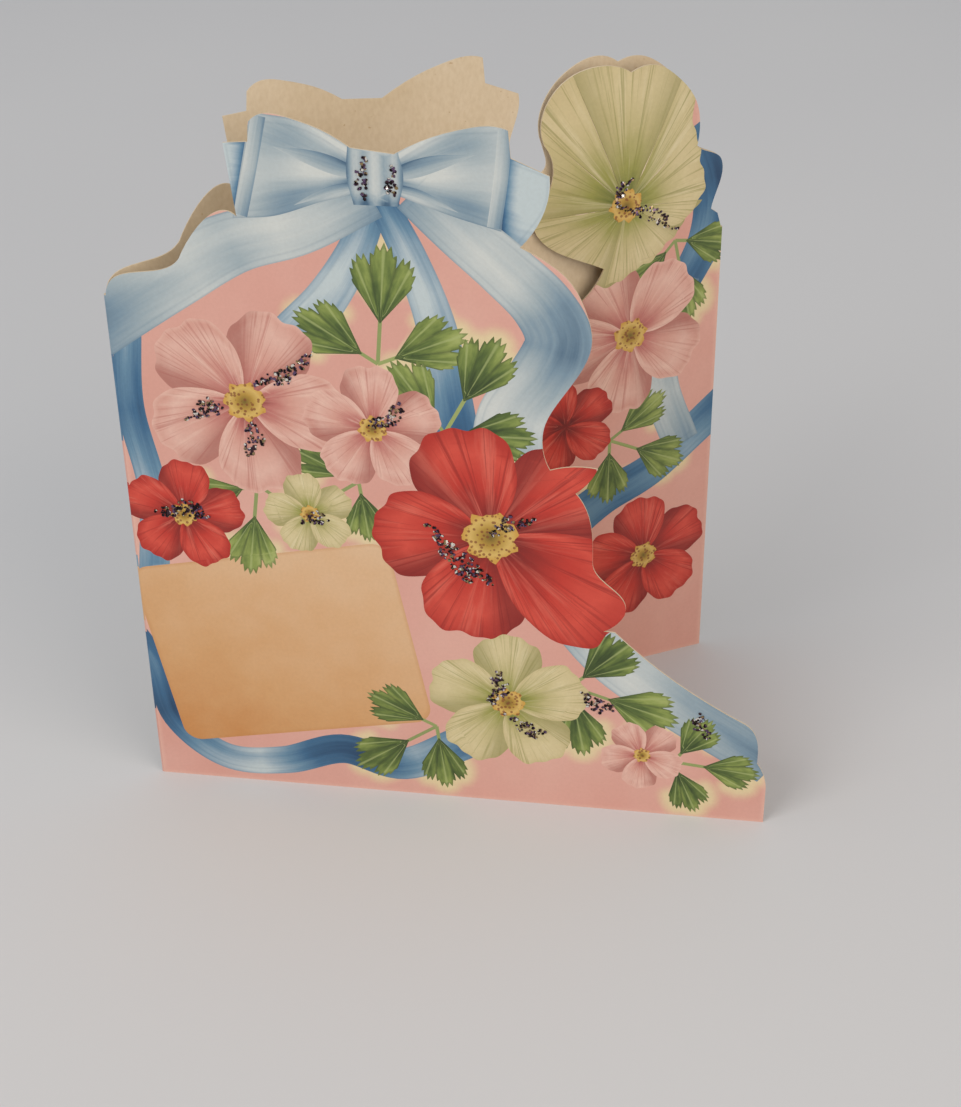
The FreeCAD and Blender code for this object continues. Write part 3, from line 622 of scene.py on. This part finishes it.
for place in ((24.0, 86.0, 18.5, 64), (47.0, 82.0, 12.5, 20), (97.0, 14.0, 8.0, 50)):
    blossom("cover", "pink_blossoms", *place)
blossom("flap", "pink_blossoms", 100.6, 80.0, 17.0, 118)
blossom("cover", "red_blossoms", 10.5, 61.5, 11.5, 12)
blossom("cover", "red_blossoms", 68.0, 61.0, 25.0, 38, (1.0, 0.92, 0.86, 0.9, 1.2))
blossom("flap", "red_blossoms", 106.0, 27.0, 14.5, 26)
blossom("flap", "red_blossoms", 87.6, 61.6, 10.5, 36)
blossom("cover", "pale_blossoms", 71.0, 24.0, 15.5, 90)
blossom("cover", "pale_blossoms", 34.5, 63.5, 8.5, 30)
blossom("flap", "pale_blossoms", 98.6, 107.6, 29.6, 88, (1.02, 0.94, 0.58, 0.46, 0.6), dome_cleft)

for place in ((68.0, 61.0, 25.0), (10.5, 61.5, 11.5), (24.0, 86.0, 18.5), (47.0, 82.0, 12.5),
              (97.0, 14.0, 8.0), (71.0, 24.0, 15.5), (34.5, 63.5, 8.5)):
    heart("cover", *place)
for place in ((98.6, 107.6, 16.0), (100.6, 80.0, 17.0), (106.0, 27.0, 14.5)):
    heart("flap", *place)

# The hearts: yellow ink with a crowd of small brown dots, about 0.8 mm apart, as drawn stamens.
material, tree, shader = new_finish("litho_heart_yellow", IOR=1.5)
shade = drawn_on(tree)[2]
ramp = add(tree, "ShaderNodeValToRGB", links={0: shade},
           stops=[(0.0, "6E5A1C"), (1.0, "C99C46"), (0.4, "B08C38"), (0.75, "D3B264")])
spot = add(tree, "ShaderNodeTexCoord").outputs["Object"]
dots = add(tree, "ShaderNodeTexVoronoi", {"Scale": 1250.0}, {"Vector": spot})
dot = add(tree, "ShaderNodeMapRange", {1: 0.30, 2: 0.40, 3: 0.75, 4: 0.0}, {0: dots.outputs["Distance"]})
dotted = add(tree, "ShaderNodeMix", {7: linear("7A3D1B")}, {0: dot.outputs[0], 6: ramp.outputs[0]},
             data_type="RGBA")
lay_ink(tree, shader, dotted.outputs[2])
finishes["blossom_hearts"] = material


# The pink ground: a flat tint over all that nothing else covers, run off the die-cut edges and
# round both creases, with a pale yellow glow left round the sprays.
def ground_look(leaf):
    """The ground's shade is the glow round the leaves, which fades over 2.6 mm."""
    greens = np.vstack(leaf_places[leaf])[::2]

    def look(u, v):
        gap = np.hypot(u[:, None] - greens[None, :, 0], v[:, None] - greens[None, :, 1]).min(axis=1)
        return u / 10, v / 10, np.clip((2.6 - gap) / 2.0, 0, 1)
    return look


material, tree, shader = new_finish("litho_tint_salmon_pink", IOR=1.5)
across, along, shade, rim, number = drawn_on(tree)
cloud = streaks(tree, across, along, number, 0.42, 0.30)
ramp = add(tree, "ShaderNodeValToRGB", links={0: cloud},
           stops=[(0.28, "D29A8C"), (0.75, "DAAA9C"), (0.5, "D6A194")])
halo = add(tree, "ShaderNodeMath", {1: 0.85}, {0: shade}, operation="MULTIPLY")
glowing = add(tree, "ShaderNodeMix", {7: linear("DDCFA2")}, {0: halo.outputs[0], 6: ramp.outputs[0]},
              data_type="RGBA")
worn = add(tree, "ShaderNodeMapRange", {1: 0.0, 2: 0.3, 3: 0.4, 4: 0.0}, {0: rim})
edged = add(tree, "ShaderNodeMix", {7: linear("E2BCAC")}, {0: worn.outputs[0], 6: glowing.outputs[2]},
            data_type="RGBA")
lay_ink(tree, shader, edged.outputs[2], 0.12)
finishes["pink_ground"] = material


# The press: every shape is cut to its leaf and to the shapes that lie over it, so that the inks lie
# side by side at one height, as fields of print do, and none covers another.
grain = 0.85                     # spacing of the print's mesh, in millimetres
rim_width = 3.0                  # how far in from its outline a shape's rim is told, in millimetres
numbered = 40                    # a shape's number is carried as a share of this
crease_rows = 120                # steps up a crease
crease_turn = 100                # degrees that the ink runs round a crease's outside


def inside(outline, u, v):
    """Which points lie inside a closed outline."""
    within = np.zeros(len(u), bool)
    for (u0, v0), (u1, v1) in zip(outline, np.roll(outline, -1, axis=0)):
        if v0 != v1:
            within ^= ((v0 > v) != (v1 > v)) & (u < (u1 - u0) * (v - v0) / (v1 - v0) + u0)
    return within


def rim_share(outline, u, v):
    """How far inside its own outline a point lies, as a share of the rim's width."""
    ends = np.roll(outline, -1, axis=0)
    runs = ends - outline
    squares = np.maximum((runs ** 2).sum(axis=1), 1e-9)
    off = np.column_stack([u, v])[:, None] - outline[None]
    share = np.clip((off * runs[None]).sum(axis=2) / squares, 0, 1)
    gap = off - share[..., None] * runs[None]
    return np.clip(np.sqrt((gap ** 2).sum(axis=2).min(axis=1)) / rim_width, 0, 1)


def cut_print(leaf):
    """The leaf's shapes as triangles: (piece name, corners in u and v, faces, corner values)."""
    loops = [side[leaf]] + [outline for _, outline, _, _ in drawn[leaf]]
    points, edges = [], []
    for loop in loops:
        edges += [(len(points) + k, len(points) + (k + 1) % len(loop)) for k in range(len(loop))]
        points += [Vector(point) for point in loop]
    low, high = side[leaf].min(axis=0), side[leaf].max(axis=0)
    for row, v in enumerate(np.arange(low[1], high[1], grain * 0.87)):
        points += [Vector((u, v)) for u in np.arange(low[0] + grain / 2 * (row % 2), high[0], grain)]
    corners, _, faces, *_ = delaunay_2d_cdt(points, edges, [], 0, 1e-5)
    corners = np.array([corner[:] for corner in corners])
    faces = np.array(faces)
    middle = corners[faces].mean(axis=1)
    free = inside(side[leaf], middle[:, 0], middle[:, 1])
    cut = []
    ground = ("pink_ground", side[leaf], ground_look(leaf), True)
    for number, (name, outline, look, rimmed) in enumerate(drawn[leaf][::-1] + [ground]):
        near = free & ((middle > outline.min(axis=0)) & (middle < outline.max(axis=0))).all(axis=1)
        own = np.flatnonzero(near)
        own = own[inside(outline, *middle[own].T)] if name != "pink_ground" else np.flatnonzero(free)
        free[own] = False
        if not len(own):
            continue
        used, face = np.unique(faces[own], return_inverse=True)
        u, v = corners[used].T
        across, along, shade = look(u, v)
        rim = rim_share(outline, u, v) if rimmed else np.ones(len(u))
        values = np.column_stack([across, along, shade, rim, np.full(len(u), number / numbered)])
        cut.append((name, u, v, face.reshape(-1, 3), values))
    return cut


def wrapped_crease(leaf, height, crease_start, way):
    """Each ink that reaches a crease, carried on round its outside, where it is rubbed down to 0.01 mm.
    Way is -1 for the spine, which turns to the left, and 1 for the flap's crease."""
    outer = crease_radius + stock + 0.01
    turn = np.radians(np.linspace(0, crease_turn, 8))
    u, w = crease_start + way * outer * np.sin(turn), way * crease_radius + outer * np.cos(turn)
    rows = np.linspace(0, height, crease_rows + 1)
    low, high = rows[:-1], rows[1:]
    beside = np.full(len(low), crease_start - way * 0.3)
    free = np.ones(len(low), bool)
    cell = np.array([(k, k + 1, k + 9) for k in range(7)] + [(k, k + 9, k + 8) for k in range(7)])
    if way < 0:
        cell = cell[:, ::-1]
    ground = ("pink_ground", None, ground_look(leaf), True)
    for number, (name, outline, look, _) in enumerate(drawn[leaf][::-1] + [ground]):
        own = free & inside(outline, beside, (low + high) / 2) if outline is not None else free
        free = free & ~own
        if not own.any():
            continue
        v = np.column_stack([low[own], high[own]]).ravel()
        across, along, shade = look(np.full(len(v), beside[0]), v)
        values = np.column_stack([across, along, shade, np.full(len(v), 0.6),
                                  np.full(len(v), number / numbered)])
        faces = np.vstack([cell + 16 * k for k in range(own.sum())])
        spots = stand(leaf, np.tile(u, len(v)), np.tile(w, len(v)), np.repeat(v, 8))
        yield name, spots, faces, np.repeat(values, 8, axis=0)[faces.ravel()]


pieces = {}
for leaf in ("cover", "flap"):
    for name, u, v, faces, values in cut_print(leaf):
        spots = stand(leaf, u, face_level(leaf, u, v) + ink, v)
        pieces.setdefault(name, []).append((spots, faces, values[faces.ravel()]))
for crease in (("cover", spine_height, flat_start, -1), ("flap", fold_height, flat_end, 1)):
    for name, *part in wrapped_crease(*crease):
        pieces[name].append(part)

for name, parts in pieces.items():
    starts = np.cumsum([0] + [len(spots) for spots, _, _ in parts])
    faces = np.vstack([faces + start for start, (_, faces, _) in zip(starts, parts)])
    carried = np.vstack([values for _, _, values in parts]).astype(np.float32)
    mesh = bpy.data.meshes.new(name + "_print")
    mesh.from_pydata(np.vstack([spots for spots, _, _ in parts]).tolist(), [], faces.tolist())
    mesh.uv_layers.new(name="drawing").data.foreach_set("uv", carried[:, :2].ravel())
    for column, attribute in ((2, "shade"), (3, "rim"), (4, "number")):
        mesh.attributes.new(attribute, "FLOAT", "CORNER").data.foreach_set("value", carried[:, column].copy())
    mesh.materials.append(finishes[name])
    merged = bmesh.new()
    merged.from_mesh(mesh)
    bmesh.ops.remove_doubles(merged, verts=merged.verts, dist=1e-7)
    merged.to_mesh(mesh)
    merged.free()
    mesh.shade_flat()
    piece = bpy.data.objects.new(name + "_print", mesh)
    bpy.context.scene.collection.objects.link(piece)
    film = piece.modifiers.new("film", "SOLIDIFY")
    film.thickness = (ink - 0.01) / 1000
    film.offset = -1.0
    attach(piece, "root")
    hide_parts(name)


# The glitter: flakes of dark metallised film, 0.4 to 0.8 mm across, shaken over dabs of clear glue
# along the petals, the knot and the foliage.  They lie at all tilts, so a few always catch the light.
flake_size = 0.7
flake_film = 0.04                # thickness of a flake, in millimetres
flake_lift = 0.09                # height of the flakes' middles over the print
flakes_per_square_metre = 3200000.0
glitter_dabs = {
    "cover": [(62.0, 56.0, -48, 15.0, 1.6), (71.5, 64.0, 20, 8.0, 1.2), (16.5, 84.0, 25, 7.0, 1.3),
              (31.5, 92.0, 30, 12.0, 1.1), (25.0, 78.5, 80, 7.0, 1.2), (50.0, 84.5, 35, 8.0, 1.1),
              (10.5, 62.5, 5, 10.0, 1.3), (69.0, 27.0, 80, 8.0, 1.3), (74.5, 18.5, -30, 8.0, 1.1),
              (47.2, 129.2, 88, 7.0, 0.7), (52.2, 128.8, 84, 6.0, 0.7), (88.0, 25.5, -25, 7.0, 1.1),
              (108.0, 22.0, -60, 6.0, 1.0), (35.5, 62.5, 20, 5.0, 1.0)],
    "flap": [(104.0, 104.6, -28, 13.0, 1.0), (97.6, 111.0, 60, 5.0, 0.8)]}

# Metallised polyester film, cut in hexagons: near black from most sides, with silver, gold and
# violet flakes among them.
material, tree, shader = new_finish("glitter_film_metallised", Metallic=0.85, Roughness=0.22)
spot = add(tree, "ShaderNodeTexCoord").outputs["Object"]
cell = add(tree, "ShaderNodeTexVoronoi", {"Scale": 2200.0}, {"Vector": spot})
pick = add(tree, "ShaderNodeSeparateColor", links={0: cell.outputs["Color"]})
ramp = add(tree, "ShaderNodeValToRGB", links={0: pick.outputs[0]},
           stops=[(0.0, "241A1E"), (0.88, "E6E2DA"), (0.36, "46323A"), (0.56, "6A5474"), (0.74, "9A8662")])
ramp.color_ramp.interpolation = "CONSTANT"
tree.links.new(ramp.outputs[0], shader.inputs["Base Color"])
glitter_finish = material

base_points, base_faces = [], []
for leaf, dabs in glitter_dabs.items():
    for u, v, angle, length, spread in dabs:
        turn = math.radians(angle)
        around = np.linspace(0, 2 * np.pi, 17)[:-1]
        ragged = 1 + 0.3 * np.sin(3 * around + u) + 0.15 * np.sin(5 * around + v)
        far, near = length / 2 * ragged * np.cos(around), spread * 1.35 * ragged * np.sin(around)
        dab_u = u + far * math.cos(turn) - near * math.sin(turn)
        dab_v = v + far * math.sin(turn) + near * math.cos(turn)
        spots = stand(leaf, dab_u, face_level(leaf, dab_u, dab_v) + ink + flake_lift, dab_v)
        base_faces.append(tuple(range(len(base_points), len(base_points) + len(spots))))
        base_points += spots.tolist()
base = bpy.data.meshes.new("glitter_dabs")
base.from_pydata(base_points, [], base_faces)
glitter = bpy.data.objects.new("glitter_dabs", base)
bpy.context.scene.collection.objects.link(glitter)

scatter = bpy.data.node_groups.new("shake_on_glitter", "GeometryNodeTree")
scatter.interface.new_socket("Dabs", in_out="INPUT", socket_type="NodeSocketGeometry")
inputs = {}
for name, kind in (("Flakes per square metre", "NodeSocketFloat"), ("Flake width", "NodeSocketFloat"),
                   ("Film thickness", "NodeSocketFloat"), ("Seed", "NodeSocketInt"),
                   ("Film", "NodeSocketMaterial")):
    inputs[name] = scatter.interface.new_socket(name, in_out="INPUT", socket_type=kind).identifier
scatter.interface.new_socket("Flakes", in_out="OUTPUT", socket_type="NodeSocketGeometry")
given = add(scatter, "NodeGroupInput")
strewn = add(scatter, "GeometryNodeDistributePointsOnFaces", links={
    "Mesh": given.outputs["Dabs"], "Density": given.outputs["Flakes per square metre"],
    "Seed": given.outputs["Seed"]})
radius = add(scatter, "ShaderNodeMath", {1: 0.5}, {0: given.outputs["Flake width"]}, operation="MULTIPLY")
flake = add(scatter, "GeometryNodeMeshCylinder", {"Vertices": 6}, {
    "Radius": radius.outputs[0], "Depth": given.outputs["Film thickness"]})
tilt = add(scatter, "FunctionNodeRandomValue", {0: (-0.4, -0.4, 0.0), 1: (0.4, 0.4, 6.28)},
           {"Seed": given.outputs["Seed"]}, data_type="FLOAT_VECTOR")
tilt_turn = add(scatter, "FunctionNodeEulerToRotation", links={0: tilt.outputs[0]})
turned = add(scatter, "FunctionNodeRotateRotation",
             links={0: strewn.outputs["Rotation"], 1: tilt_turn.outputs[0]}, rotation_space="LOCAL")
size = add(scatter, "FunctionNodeRandomValue", {2: 0.6, 3: 1.15}, {"Seed": given.outputs["Seed"]},
           data_type="FLOAT")
placed = add(scatter, "GeometryNodeInstanceOnPoints", links={
    "Points": strewn.outputs["Points"], "Instance": flake.outputs["Mesh"], "Rotation": turned.outputs[0],
    "Scale": size.outputs[1]})
real = add(scatter, "GeometryNodeRealizeInstances", links={0: placed.outputs[0]})
coated = add(scatter, "GeometryNodeSetMaterial",
             links={"Geometry": real.outputs[0], "Material": given.outputs["Film"]})
add(scatter, "NodeGroupOutput", links={0: coated.outputs[0]})

strew = glitter.modifiers.new("strew", "NODES")
strew.node_group = scatter
strew[inputs["Flakes per square metre"]] = flakes_per_square_metre
strew[inputs["Flake width"]] = flake_size / 1000
strew[inputs["Film thickness"]] = flake_film / 1000
strew[inputs["Seed"]] = 11
strew[inputs["Film"]] = glitter_finish
flakes = bpy.data.meshes.new_from_object(glitter.evaluated_get(bpy.context.evaluated_depsgraph_get()))
bpy.data.objects.remove(glitter)
flakes.name = "glitter_flakes"
glitter = bpy.data.objects.new("glitter_flakes", flakes)
bpy.context.scene.collection.objects.link(glitter)
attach(glitter, "root")
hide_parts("glitter")


# The stage: a plain pale floor, one broad soft lamp high at the left front and a weaker one at the
# right, and an even sky, at the level where a colour renders about as it is written.
floor_mesh = bpy.data.meshes.new("floor")
floor_mesh.from_pydata([(-3, -3, 0), (3, -3, 0), (3, 3, 0), (-3, 3, 0)], [], [(0, 1, 2, 3)])
floor = bpy.data.objects.new("floor", floor_mesh)
bpy.context.scene.collection.objects.link(floor)
material, tree, shader = new_finish("floor_paper_pale", Roughness=0.9)
spot = add(tree, "ShaderNodeTexCoord").outputs["Object"]
cloud = add(tree, "ShaderNodeTexNoise", {"Scale": 3.0}, {"Vector": spot})
ramp = add(tree, "ShaderNodeValToRGB", links={0: cloud.outputs["Fac"]},
           stops=[(0.3, "CBCCCF"), (0.7, "D0D1D3")])
tree.links.new(ramp.outputs[0], shader.inputs["Base Color"])
floor_mesh.materials.append(material)


def soft_lamp(name, place, target, width, power, colour):
    """A square soft lamp that points at a target."""
    lamp = bpy.data.lights.new(name, "AREA")
    lamp.size = width
    lamp.energy = power
    lamp.color = linear(colour)[:3]
    holder = bpy.data.objects.new(name, lamp)
    aim = (Vector(target) - Vector(place)).to_track_quat("-Z", "Y")
    holder.matrix_world = Matrix.Translation(place) @ aim.to_matrix().to_4x4()
    bpy.context.scene.collection.objects.link(holder)


soft_lamp("key", (-0.75, -0.95, 0.95), (0, 0, 0.05), 0.8, 8.6, "FFFBF5")
soft_lamp("fill", (0.9, -0.7, 0.6), (0, 0, 0.05), 1.0, 6.4, "FFEED9")
world = bpy.data.worlds.new("studio")
world.use_nodes = True
world.node_tree.nodes["Background"].inputs["Color"].default_value = linear("F2F3F5")
world.node_tree.nodes["Background"].inputs["Strength"].default_value = 0.6
bpy.context.scene.world = world
bpy.context.scene.view_settings.view_transform = "Standard"

# The camera stands where the photograph was taken from, a little above the card and to its right.
camera = bpy.data.objects.new("camera", bpy.data.cameras.new("camera"))
camera.data.lens = 64.86
camera.data.sensor_width = 36.0
camera.data.clip_start = 0.01
right = Vector((0.9890609, 0.1469696, -0.0125878))
down = Vector((0.0677154, -0.5281984, -0.8464166))
forward = Vector((-0.1310464, 0.8363052, -0.5323725))
facing = Matrix((right, -down, -forward)).transposed()
camera.matrix_world = Matrix.Translation((0.053398, -0.335327, 0.251791)) @ facing.to_4x4()
bpy.context.scene.collection.objects.link(camera)
bpy.context.scene.camera = camera
